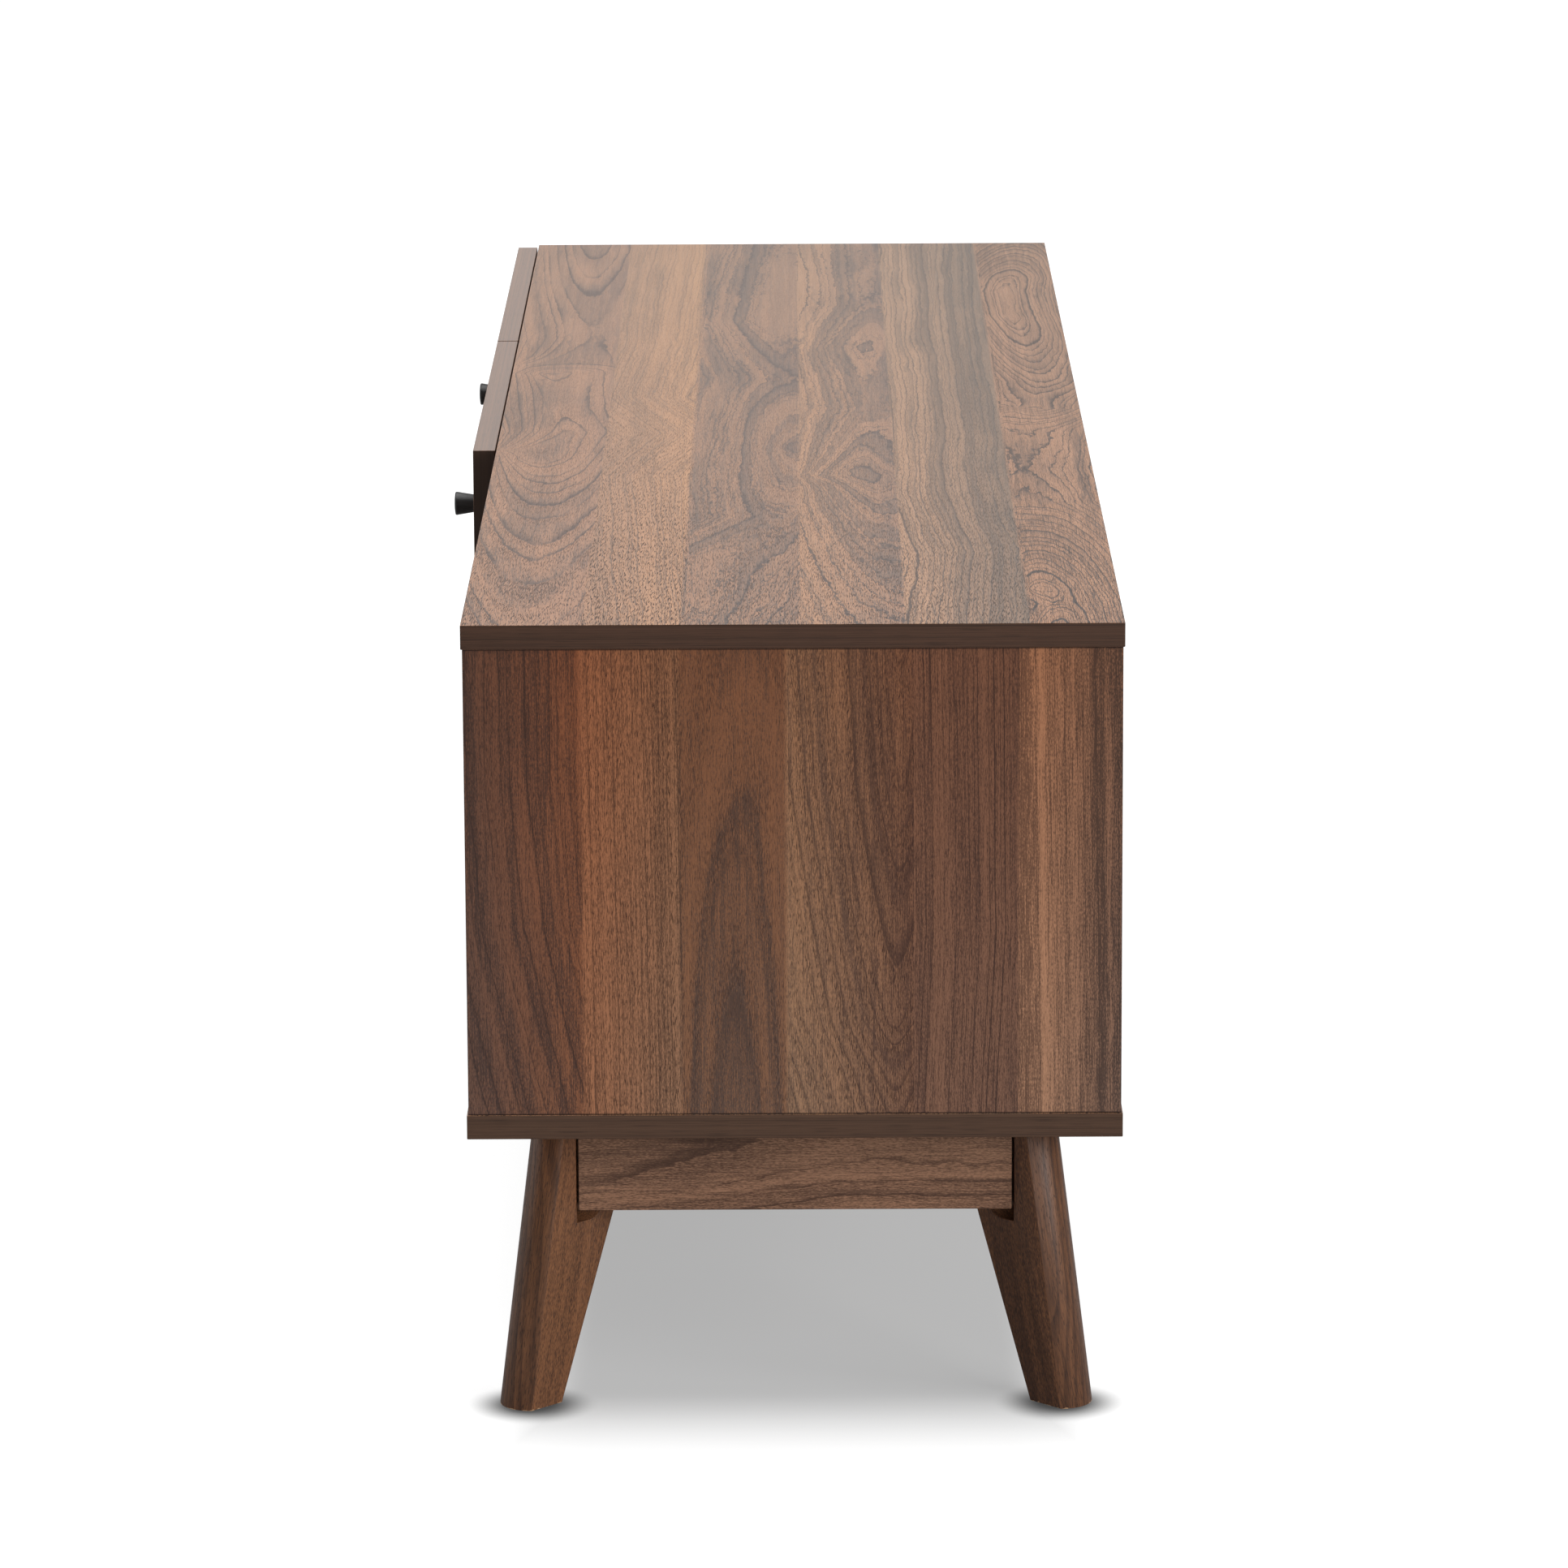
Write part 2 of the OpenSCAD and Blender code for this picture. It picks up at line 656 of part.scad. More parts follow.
// Runner members, drawn as sections: u runs from the case wall to the drawer, v is up
module channel(u0, u1, half_v, lip_v, open_u)
    for (k = [-1, 1]) {
        translate([min(u0, u1), k > 0 ? half_v - steel : -half_v]) square([abs(u1 - u0), steel]);
        if (lip_v > 0)
            translate([open_u, k > 0 ? half_v - lip_v : -half_v]) square([steel, lip_v]);
    }
module case_section() {
    translate([0, -22.7]) square([steel, 45.4]);
    channel(0, 9.6, 22.7, 5.2, 8.4);
}
module mid_section() {
    translate([4, -16.9]) square([steel, 33.8]);
    channel(4, 10.6, 16.9, 3.6, 9.4);
}
module drawer_section() {
    translate([runner_thick - steel, -10.8]) square([steel, 21.6]);
    channel(6.2, runner_thick, 10.8, 0, 0);
}
// x is the column's middle and s its side; sections are drawn from the case wall inwards
module runner(x, s, from_y, long)
    translate([x + s * column_w / 2, from_y, runner_z]) mirror([s > 0 ? 1 : 0, 0, 0])
        rotate([90, 0, 0]) mirror([0, 0, 1]) linear_extrude(height = long) children();
module case_rail(x, s)
    place() color(zinc) difference() {
        runner(x, s, runner_y, runner_length) case_section();
        case_screws(x, s) translate([0, 0, -over]) cylinder(d = screw_d + 0.6, h = 4);
    }
module mid_rail(x, s)
    place() color(zinc) runner(x, s, runner_y + 3, runner_length - 6) mid_section();
module drawer_rail(x, s)
    place() color(zinc) difference() {
        runner(x, s, runner_y, runner_length) drawer_section();
        drawer_rail_screws(x) translate([0, 0, -over]) cylinder(d = screw_d + 0.6, h = 4);
    }

top_panel();
bottom_panel();
left_side_panel();
right_side_panel();
left_partition();
right_partition();
left_fixed_shelf();
middle_fixed_shelf();
bay_shelf();
shelf_pins();
left_back_panel();
middle_back_panel();
right_back_panel();
front_apron();
rear_apron();
left_apron();
right_apron();
front_left_leg();
front_right_leg();
rear_left_leg();
rear_right_leg();
foot_glides();
corner_brackets();
hanger_bolts();
leg_nuts();
bracket_screws();
dowels();
cam_locks();
cam_bolts();
runner_screws();
drawer_front(left_x, left_front_x);  // left_drawer_front
drawer_side(left_x, -1);  // left_drawer_left_side
drawer_side(left_x, 1);  // left_drawer_right_side
drawer_back(left_x);  // left_drawer_back
drawer_bottom(left_x);  // left_drawer_bottom
knob(left_front_x);  // left_knob
knob_screw(left_front_x);  // left_knob_screw
drawer_cams(left_x);  // left_drawer_cams
drawer_screws(left_x);  // left_drawer_screws
drawer_rail(left_x, -1);  // left_drawer_rail_l
drawer_rail(left_x, 1);  // left_drawer_rail_r
mid_rail(left_x, -1);  // left_mid_rail_l
mid_rail(left_x, 1);  // left_mid_rail_r
case_rail(left_x, -1);  // left_case_rail_l
case_rail(left_x, 1);  // left_case_rail_r
drawer_front(middle_x, middle_front_x);  // middle_drawer_front
drawer_side(middle_x, -1);  // middle_drawer_left_side
drawer_side(middle_x, 1);  // middle_drawer_right_side
drawer_back(middle_x);  // middle_drawer_back
drawer_bottom(middle_x);  // middle_drawer_bottom
knob(middle_front_x);  // middle_knob
knob_screw(middle_front_x);  // middle_knob_screw
drawer_cams(middle_x);  // middle_drawer_cams
drawer_screws(middle_x);  // middle_drawer_screws
drawer_rail(middle_x, -1);  // middle_drawer_rail_l
drawer_rail(middle_x, 1);  // middle_drawer_rail_r
mid_rail(middle_x, -1);  // middle_mid_rail_l
mid_rail(middle_x, 1);  // middle_mid_rail_r
case_rail(middle_x, -1);  // middle_case_rail_l
case_rail(middle_x, 1);  // middle_case_rail_r
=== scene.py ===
"""Low sideboard on splayed legs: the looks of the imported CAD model, its light and its camera.

Left and right are as seen by someone facing the front, which looks along -Y. +X is the open-bay end.
"""

import json
import math

import bpy
from mathutils import Matrix, Vector

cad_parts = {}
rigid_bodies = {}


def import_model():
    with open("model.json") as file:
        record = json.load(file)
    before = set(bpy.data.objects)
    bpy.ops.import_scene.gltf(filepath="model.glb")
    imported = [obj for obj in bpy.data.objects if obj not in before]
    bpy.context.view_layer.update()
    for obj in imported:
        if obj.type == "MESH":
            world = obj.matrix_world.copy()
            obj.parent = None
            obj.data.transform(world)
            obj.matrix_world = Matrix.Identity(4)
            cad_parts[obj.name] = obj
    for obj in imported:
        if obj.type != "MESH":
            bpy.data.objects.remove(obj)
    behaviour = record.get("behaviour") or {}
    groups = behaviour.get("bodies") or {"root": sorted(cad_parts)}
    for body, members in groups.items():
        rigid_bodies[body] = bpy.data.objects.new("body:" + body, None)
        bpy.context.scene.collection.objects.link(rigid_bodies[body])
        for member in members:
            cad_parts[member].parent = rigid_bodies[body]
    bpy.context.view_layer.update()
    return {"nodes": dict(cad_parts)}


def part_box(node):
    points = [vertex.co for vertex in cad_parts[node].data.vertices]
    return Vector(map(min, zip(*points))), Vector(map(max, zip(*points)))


MM = 0.001

for spare in list(bpy.data.objects):
    bpy.data.objects.remove(spare, do_unlink=True)
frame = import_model()


class Field:
    """A number that varies over a surface. It comes from a node, and + - * / work on it."""

    def __init__(self, graph, socket):
        self.graph = graph
        self.socket = socket

    def __add__(self, other):
        return self.graph.math("ADD", self, other)

    def __sub__(self, other):
        return self.graph.math("SUBTRACT", self, other)

    def __mul__(self, other):
        return self.graph.math("MULTIPLY", self, other)

    def __truediv__(self, other):
        return self.graph.math("DIVIDE", self, other)

    def __radd__(self, other):
        return self.graph.math("ADD", other, self)

    def __rsub__(self, other):
        return self.graph.math("SUBTRACT", other, self)

    def __rmul__(self, other):
        return self.graph.math("MULTIPLY", other, self)

    def __abs__(self):
        return self.graph.math("ABSOLUTE", self)

    def part(self):
        return self.graph.math("FRACT", self)

    def whole(self):
        return self.graph.math("FLOOR", self)

    def above(self, limit):
        return self.graph.math("GREATER_THAN", self, limit)

    def sign(self):
        return self.graph.math("SIGN", self)


class Graph:
    """One material, and short calls that add its nodes."""

    def __init__(self, name):
        self.material = bpy.data.materials.new(name)
        self.material.use_nodes = True
        self.tree = self.material.node_tree
        self.tree.nodes.clear()
        coords = self.add("TexCoord")
        self.x, self.y, self.z = self.split(coords.outputs["Object"])
        self.nx, self.ny, self.nz = self.split(coords.outputs["Normal"])

    def add(self, kind, **settings):
        node = self.tree.nodes.new("ShaderNode" + kind)
        for key, value in settings.items():
            setattr(node, key, value)
        return node

    def put(self, socket, value):
        if isinstance(value, Field):
            value = value.socket
        if isinstance(value, bpy.types.NodeSocket):
            self.tree.links.new(value, socket)
        else:
            socket.default_value = value

    def split(self, vector):
        node = self.add("SeparateXYZ")
        self.put(node.inputs[0], vector)
        return [Field(self, out) for out in node.outputs]

    def join(self, x, y, z=0.0):
        node = self.add("CombineXYZ")
        for socket, value in zip(node.inputs, (x, y, z)):
            self.put(socket, value)
        return node.outputs[0]

    def math(self, operation, *values):
        node = self.add("Math", operation=operation)
        for socket, value in zip(node.inputs, values):
            self.put(socket, value)
        return Field(self, node.outputs[0])

    def length(self, a, b):
        return self.math("SQRT", a * a + b * b)

    def ease(self, value, low, high, to_low=0.0, to_high=1.0):
        """Goes smoothly from to_low to to_high while value goes from low to high."""
        node = self.add("MapRange", interpolation_type="SMOOTHSTEP")
        for socket, number in zip(node.inputs, (value, low, high, to_low, to_high)):
            self.put(socket, number)
        return Field(self, node.outputs[0])

    def noise(self, x, y, detail=2.0, rough=0.5):
        """Noise from 0 to 1 whose cells are about 1 wide in x and y."""
        node = self.add("TexNoise", noise_dimensions="2D")
        self.put(node.inputs["Vector"], self.join(x, y))
        node.inputs["Scale"].default_value = 1.0
        node.inputs["Detail"].default_value = detail
        node.inputs["Roughness"].default_value = rough
        return Field(self, node.outputs[0])

    def noise_3d(self, x, y, z, detail=2.0, rough=0.5):
        node = self.add("TexNoise", noise_dimensions="3D")
        self.put(node.inputs["Vector"], self.join(x, y, z))
        node.inputs["Scale"].default_value = 1.0
        node.inputs["Detail"].default_value = detail
        node.inputs["Roughness"].default_value = rough
        return Field(self, node.outputs[0])

    def noise_1d(self, w, detail=1.0):
        node = self.add("TexNoise", noise_dimensions="1D")
        self.put(node.inputs["W"], w)
        node.inputs["Scale"].default_value = 1.0
        node.inputs["Detail"].default_value = detail
        return Field(self, node.outputs[0])

    def ramp(self, value, stops, steps=False):
        """A colour for each value: stops are (position, (red, green, blue))."""
        node = self.add("ValToRGB")
        self.put(node.inputs[0], value)
        band = node.color_ramp
        band.interpolation = "CONSTANT" if steps else "LINEAR"
        while len(band.elements) < len(stops):
            band.elements.new(0.5)
        for element, (at, _) in zip(band.elements, stops):
            element.position = at
        for element, (at, colour) in zip(band.elements, stops):
            element.position = at
            element.color = (*colour, 1.0)
        return node.outputs[0]

    def mix(self, share, a, b, blend="MIX"):
        node = self.add("Mix", data_type="RGBA", blend_type=blend)
        self.put(node.inputs[0], share)
        for socket, colour in zip((node.inputs[6], node.inputs[7]), (a, b)):
            if isinstance(colour, tuple):
                colour = (*colour, 1.0)
            self.put(socket, colour)
        return node.outputs[2]

    def finish(self, colour, rough, height, bump_mm, **fixed):
        """The shader itself. fixed holds the numbers that are the same all over."""
        shader = self.add("BsdfPrincipled")
        out = self.add("OutputMaterial")
        self.put(out.inputs["Surface"], shader.outputs[0])
        self.put(shader.inputs["Base Color"], colour)
        self.put(shader.inputs["Roughness"], rough)
        for key, value in fixed.items():
            shader.inputs[key.replace("_", " ")].default_value = value
        if height is not None:
            bump = self.add("Bump")
            self.put(bump.inputs["Height"], height)
            bump.inputs["Distance"].default_value = bump_mm * MM
            bump.inputs["Strength"].default_value = 1.0
            self.put(shader.inputs["Normal"], bump.outputs[0])
        return self.material


def srgb(red, green, blue):
    """A colour on the 0 to 255 screen scale, as linear light."""
    def linear(level):
        level /= 255
        return level / 12.92 if level <= 0.04045 else ((level + 0.055) / 1.055) ** 2.4
    return (linear(red), linear(green), linear(blue))


# --- Printed walnut laminate ---------------------------------------------------------------------
# Each surface is a row of planks. A plank's growth rings are the distance from its pith line, which
# runs along the plank at "pith" across it and "rise" below it. Where the rise grows along the plank,
# the rings close in cathedrals, and where it dips to nothing they close in ovals.

# A colour ramp holds 0 to 1, so the planks' numbers are stored as shares of these spans, in metres
PITH_LOW, PITH_SPAN = -0.2, 1.4
RISE_SPAN = 0.16
RING_SPAN = 0.02
TONE_SPAN = 0.08
TONE_ZERO = 0.6
SEAM_SHARE = 0.003

# Cells per metre along the grain and across it
SLOW_WAVE = (5.0, 26.0)
SMALL_WAVE = (30.0, 170.0)
CRINKLE = (90.0, 300.0)
PATCH = (7.0, 40.0)
STREAK = (1.8, 330.0)
SPECK = (500.0, 1500.0)
FIBRE_ALONG, HAIR_ALONG = 16.0, 30.0

# How far the waves move the rings, in metres at a wave of 1, and how round a cathedral's tip is
SLOW_ACROSS, SLOW_DEPTH = 0.034, 0.022
SMALL_SHIFT, LEAST_SHIFT = 0.006, 0.0002
CRINKLE_WAVE = 3.0
RING_TIP = 0.006
FAN_BREADTH, FAN_CORE = 0.03, 0.04

# Places within one ring, 0 to 1: its dark late wood, the shade before that, and where both end
LATE_WOOD = (0.74, 0.94)
SHADE_BEFORE = (0.1, 0.93)
RING_END = (0.95, 1.0)

# What the pores and the ring lines multiply the dark colour by
DEEP_TINT = (0.36, 0.33, 0.36)


class Plank:
    """One plank of a print.

    start: where it starts across the surface, 0 to 1. ring_mm: spacing of the rings. line, band and
    pores: how strong the ring lines, the broad bands and the pores are, 0 to 1. At a line of 1 fewer
    rings are faint. wave: how far the rings wander, 0 to 1. light and dark: its colours at the start
    side and the end side. path: (place along 0 to 1, pith across 0 to 1 of the whole surface, rise in
    mm) in order. fans: (place along, place across, reach in m, rings) of the points that rings fan out
    from. tone: (distance from the pith in mm, darkness) of chosen rings. sharp: how pointed the
    cathedrals are, 0 to 1.
    """

    def __init__(self, start, ring_mm, line, band, pores, wave, light, dark, path, fans=(), tone=(),
                 sharp=0.0):
        self.start = start
        self.ring_mm = ring_mm
        self.line = line
        self.band = band
        self.pores = pores
        self.wave = wave
        self.light = light
        self.dark = dark
        self.path = path
        self.fans = fans
        self.tone = tone
        self.sharp = sharp

    def path_stops(self):
        return [(at, ((pith - PITH_LOW) / PITH_SPAN, rise * MM / RISE_SPAN, 0))
                for at, pith, rise in self.path]


def edge_stops(planks, key):
    """Colour stops that blend across each plank and change at once at the seam."""
    stops = []
    for index, plank in enumerate(planks):
        last = index + 1 == len(planks)
        end = 1.0 if last else planks[index + 1].start - SEAM_SHARE
        first_side, last_side = getattr(plank, key)
        stops.append((plank.start, srgb(*first_side)))
        stops.append((end, srgb(*last_side)))
    return stops


class Print:
    """The wood print of planks over a surface: u runs along the grain and v across it, 0 to 1."""

    def __init__(self, graph, planks, u, v, long_m, wide_m, pore_long, pore_wide, contrast, crisp,
                 crinkle):
        """long_m and wide_m: size of the whole surface. pore_long and pore_wide: pores per metre along
        the grain and across it. contrast: strength of the fine figure. crisp: how clear pores and
        fibres are at the print's start and at its end. crinkle: how far the ring lines wobble from one
        centimetre to the next, in metres, at a wave of a third.
        """
        g = graph
        clear = u * u * (crisp[1] - crisp[0]) + crisp[0]
        along = u * long_m
        across = v * wide_m
        masks = [v.above(plank.start) for plank in planks[1:]]
        path = g.ramp(u, planks[0].path_stops())
        index = 0.0
        for mask, plank in zip(masks, planks[1:]):
            path = g.mix(mask, path, g.ramp(u, plank.path_stops()))
            index = mask + index
        pith, rise, _ = g.split(path)
        ring_size, line_power, band_power = g.split(g.ramp(
            v, [(p.start, (p.ring_mm * MM / RING_SPAN, p.line, p.band)) for p in planks], steps=True))
        pore_power, wave, sharp = g.split(g.ramp(
            v, [(p.start, (p.pores, p.wave, p.sharp)) for p in planks], steps=True))
        seed = index * 7.31 + 3.7
        # The rings' slow waves, then their small ones
        slow = g.noise(along * SLOW_WAVE[0] + seed, across * SLOW_WAVE[1] + seed) - 0.5
        small = g.noise(along * SMALL_WAVE[0] + seed, across * SMALL_WAVE[1] - seed) - 0.5
        drift = slow * wave
        offset = across - (pith * PITH_SPAN + PITH_LOW) * wide_m + drift * SLOW_ACROSS
        depth = rise * RISE_SPAN + drift * SLOW_DEPTH
        rounded = g.length(offset, depth)
        pointed = g.length(offset, RING_TIP) - RING_TIP + depth
        radius = rounded + (pointed - rounded) * sharp + small * (wave * SMALL_SHIFT + LEAST_SHIFT)
        wobble = g.noise(along * CRINKLE[0], across * CRINKLE[1]) - 0.5
        radius = radius + wobble * wave * (crinkle * CRINKLE_WAVE)
        count = radius / (ring_size * RING_SPAN) + seed
        tone = 0.0
        for number, plank in enumerate(planks):
            if not plank.fans and not plank.tone:
                continue
            inside = 1.0 if number == 0 else masks[number - 1]
            if number < len(masks):
                inside = inside - masks[number]
            for at, edge, reach, rings in plank.fans:
                step = abs(along - at * long_m) / reach
                aside = (across - edge * wide_m) / FAN_BREADTH
                far = g.length(g.length(step, aside), FAN_CORE * inside)
                count = count + step / far * inside * rings
            if plank.tone:
                shades = g.ramp(radius / TONE_SPAN, [(mm * MM / TONE_SPAN, (dark + TONE_ZERO, 0, 0))
                                                     for mm, dark in plank.tone])
                tone = (g.split(shades)[0] - TONE_ZERO) * inside + tone
        count = count + g.noise_1d(count * 0.55) * 1.5
        part = count.part()
        late = g.ease(part, *LATE_WOOD) * g.ease(part, *RING_END, 1.0, 0.0)
        before = g.ease(part, *SHADE_BEFORE) * g.ease(part, *RING_END, 1.0, 0.0)
        ring_seed = g.noise_1d(count.whole() * 3.17 + 0.5, detail=0.0)
        patchy = g.noise(along * PATCH[0] - seed, across * PATCH[1], detail=1.0)
        every = g.ease(line_power, 0.93, 1.0, 0.0, 0.3)
        strength = g.ease(ring_seed + patchy * 0.6 + every, 0.42, 0.92) * line_power
        line = late * strength * (clear * 0.6 + 0.5)
        broad = g.noise_1d(count * 0.31 + seed)
        band = g.ease(broad + slow * 0.5, 0.40, 0.68) * band_power + before * strength * 0.45
        # Fibres are long and hair-thin. Pores are short dark ticks, denser after each ring line.
        thin = across * pore_wide + small * 4.0
        self.fibre = g.noise(along * FIBRE_ALONG + thin * 0.23, thin * 0.7, rough=0.6)
        hair = g.noise(along * HAIR_ALONG - thin * 0.31, thin * 0.9 + seed, detail=1.0)
        hair = g.ease(hair, 0.52, 0.68)
        streak = g.noise(along * STREAK[0] - seed, across * STREAK[1] + small * 3.0, detail=3.0, rough=0.6)
        pore_cells = g.noise(along * pore_long + thin * 0.37, thin + seed, detail=0.0)
        porous = g.ease(part, 0.0, 0.7, 1.0, -0.3) * (0.3 + patchy * 1.4)
        self.pore = g.ease(pore_cells + porous * 0.12, 0.64, 0.71) * pore_power * clear
        speck = g.noise(along * SPECK[0] + seed, across * SPECK[1], detail=1.0) - 0.5
        light = g.ramp(v, edge_stops(planks, "light"))
        dark = g.ramp(v, edge_stops(planks, "dark"))
        shade = line * 0.6 + band * 0.7 + (streak - 0.5) * contrast + tone
        shade = shade + (patchy - 0.5) * 0.2
        fine = (self.fibre - 0.5) * 1.1 + (hair - 0.3) * 0.45 + speck * 1.3
        shade = shade + fine * (clear * contrast)
        colour = g.mix(g.ease(shade, -0.5, 1.1), light, dark)
        deep = g.mix(1.0, dark, DEEP_TINT, blend="MULTIPLY")
        colour = g.mix(line * 0.75, colour, deep)
        self.colour = g.mix(self.pore * 0.9, colour, deep)
        self.height = 1.0 - self.pore * 0.8 - line * 0.3 + (self.fibre - 0.5) * 0.5


def edge_band(g, along, across, light, dark):
    """The thin plastic band on a board's edge, with fine lines along it."""
    line = g.noise(along * 2.0, across * 1800.0, detail=3.0, rough=0.6)
    wide = g.noise(along * 1.2, across * 420.0, detail=2.0)
    tick = g.noise(along * 45.0, across * 3000.0, detail=0.0)
    shade = line * 0.7 + wide * 0.35 + g.ease(tick, 0.58, 0.72) * 0.14
    return g.mix(g.ease(shade, 0.36, 0.85), light, dark)


TOP_PLANKS = [
    Plank(0.0, 5.6, 0.9, 0.7, 0.6, 0.18, ((152, 112, 86), (150, 111, 86)), ((94, 75, 64), (100, 79, 68)),
          [(0.0, 0.11, 10), (0.30, 0.11, 44), (0.377, 0.08, 50), (0.40, 0.06, 12), (0.50, 0.08, 16),
           (0.56, 0.10, 22), (0.609, 0.07, 26), (0.63, 0.06, 20), (1.0, 0.085, 58)],
          [(0.377, 0.0, 0.10, 4.0), (0.609, 0.0, 0.14, 6.0)]),
    Plank(0.183, 3.0, 0.6, 0.4, 0.9, 0.25, ((156, 116, 88), (168, 124, 90)), ((110, 86, 70), (118, 90, 70)),
          [(0.0, 0.10, 6), (0.30, 0.08, 8), (0.47, 0.05, 8), (0.565, 0.14, 4), (0.67, 0.06, 8),
           (1.0, 0.10, 8)]),
    Plank(0.333, 3.8, 0.9, 0.75, 0.6, 0.5, ((146, 108, 83), (142, 106, 82)), ((94, 77, 67), (90, 73, 65)),
          [(0.0, 0.50, 30), (0.25, 0.47, 26), (0.42, 0.52, 42), (0.60, 0.515, 3), (0.77, 0.49, 36),
           (0.86, 0.38, 28), (1.0, 0.34, 34)]),
    Plank(0.512, 3.8, 0.9, 0.75, 0.6, 0.55, ((160, 119, 89), (142, 106, 83)), ((104, 82, 68), (90, 74, 66)),
          [(0.0, 0.64, 30), (0.2, 0.66, 26), (0.33, 0.63, 10), (0.5, 0.64, 26), (0.66, 0.62, 6),
           (0.70, 0.64, 12), (1.0, 0.66, 54)],
          [(0.673, 0.512, 0.12, 6.0)]),
    Plank(0.671, 3.8, 0.97, 0.75, 0.6, 0.3, ((160, 122, 94), (120, 95, 76)), ((112, 88, 71), (80, 67, 58)),
          [(0.0, 0.50, 4), (0.25, 0.49, 4), (0.5, 0.50, 4), (0.7, 0.49, 4), (0.85, 0.52, 4),
           (1.0, 0.50, 4)]),
    Plank(0.860, 2.6, 1.0, 0.4, 0.4, 0.17, ((152, 111, 83), (152, 111, 83)), ((76, 55, 42), (72, 53, 42)),
          [(0.0, 0.95, 38), (0.12, 0.915, 12), (0.16, 0.905, 9), (0.24, 0.91, 9), (0.30, 0.925, 14),
           (0.43, 0.945, 34), (0.50, 0.90, 46), (0.56, 0.89, 60), (0.66, 0.888, 62), (0.74, 0.887, 58),
           (0.93, 0.885, 9), (0.96, 0.90, 15), (1.0, 0.90, 6)],
          [(0.505, 0.885, 0.06, 4.0)]),
]

END_PLANKS = [
    Plank(0.0, 6.0, 0.5, 0.8, 0.6, 0.2, ((108, 76, 61), (138, 86, 58)), ((70, 53, 47), (78, 53, 43)),
          [(0.0, -0.12, 4), (0.3, -0.12, 4), (0.6, -0.10, 6), (1.0, -0.03, 10)],
          tone=[(48, 0), (66, 0.1), (72, 0.45), (80, 0.0)]),
    Plank(0.178, 3.0, 0.5, 0.25, 0.9, 0.06, ((160, 104, 72), (150, 107, 79)), ((106, 69, 50), (94, 68, 52)),
          [(0.0, 0.05, 4), (1.0, 0.06, 4)], tone=[(0, 0), (60, -0.1), (80, 0.1)]),
    Plank(0.329, 11.0, 0.3, 0.2, 0.7, 0.06, ((130, 88, 62), (129, 88, 63)), ((86, 65, 55), (86, 65, 55)),
          [(0.0, 0.43, 42), (0.297, 0.43, 33), (0.41, 0.415, 30.2), (0.52, 0.41, 27.7), (0.66, 0.41, 24.2),
           (0.8, 0.41, 21.8), (1.0, 0.41, 18.2)],
          tone=[(0, 0.5), (21.5, 0.45), (23.3, 0.7), (24.4, 0.2), (30.2, 0.25), (32.5, 0.8), (33.8, 0.1),
                (36.5, -0.1), (44, 0.0)]),
    Plank(0.490, 8.0, 0.5, 0.35, 0.9, 0.10, ((157, 116, 86), (132, 91, 67)), ((102, 78, 64), (84, 57, 46)),
          [(0.0, 0.665, 1), (0.29, 0.665, 7), (0.54, 0.66, 21), (0.8, 0.655, 37), (0.905, 0.655, 50),
           (1.0, 0.655, 58)],
          tone=[(0, 0.25), (17, 0.3), (20, 0.75), (23, 0.2), (44, 0.25), (49, 0.85), (52, 0.15), (62, 0.0)],
          sharp=0.85),
    Plank(0.683, 3.0, 0.8, 0.35, 0.6, 0.06, ((128, 89, 68), (122, 85, 66)), ((80, 55, 45), (76, 53, 44)),
          [(0.0, 0.50, 4), (0.6, 0.505, 4), (1.0, 0.49, 4)]),
    Plank(0.845, 4.0, 0.3, 0.2, 0.3, 0.06, ((178, 128, 96), (134, 98, 78)), ((106, 74, 57), (68, 52, 45)),
          [(0.0, 0.80, 4), (1.0, 0.81, 4)],
          tone=[(18, 0.75), (25, 0.6), (28, 0.1), (30, -0.35), (33, 0.2), (53, 0.2), (59, 0.35), (63, 0.9),
                (66, 0.9), (69, 0.2), (76, 0.6)]),
]

FRONT_PLANKS = [
    Plank(0.0, 8.0, 0.6, 0.7, 0.6, 0.3, ((130, 86, 62), (120, 82, 62)), ((84, 58, 48), (80, 56, 46)),
          [(0.0, 0.20, 12), (0.3, 0.22, 30), (0.5, 0.20, 8), (0.8, 0.25, 36), (1.0, 0.2, 20)]),
    Plank(0.44, 4.0, 0.6, 0.4, 0.8, 0.15, ((150, 106, 78), (140, 100, 76)), ((106, 74, 56), (98, 70, 54)),
          [(0.0, 0.1, 6), (1.0, 0.05, 6)]),
    Plank(0.80, 7.0, 0.6, 0.6, 0.6, 0.25, ((116, 80, 62), (122, 84, 64)), ((80, 56, 46), (84, 58, 48)),
          [(0.0, 1.0, 40), (0.4, 0.95, 14), (0.7, 1.0, 34), (1.0, 1.0, 10)]),
]

RAIL_PLANKS = [
    Plank(0.0, 7.0, 0.7, 0.7, 0.7, 0.5, ((152, 113, 89), (154, 117, 93)), ((98, 72, 58), (100, 75, 61)),
          [(0.0, 0.2, 30), (0.18, 0.5, 50), (0.4, 0.9, 12), (0.6, 1.0, 40), (0.8, 0.6, 20),
           (1.0, 0.8, 44)]),
]

# Light and dark colour of the edge bands. The top slab's band is a darker copy of the others, painted shade
# for the floor light that reaches the lower bands, and the drawer fronts' band is a lighter copy, a painted
# sheen on their top edges
BAND = (srgb(84, 61, 47), srgb(54, 38, 29))
SHADED_TOP_BAND = (srgb(75, 51, 38), srgb(48, 32, 23))
SHEEN_FRONT_BAND = (srgb(108, 76, 54), srgb(72, 50, 36))
BAND_ROUGH = 0.34
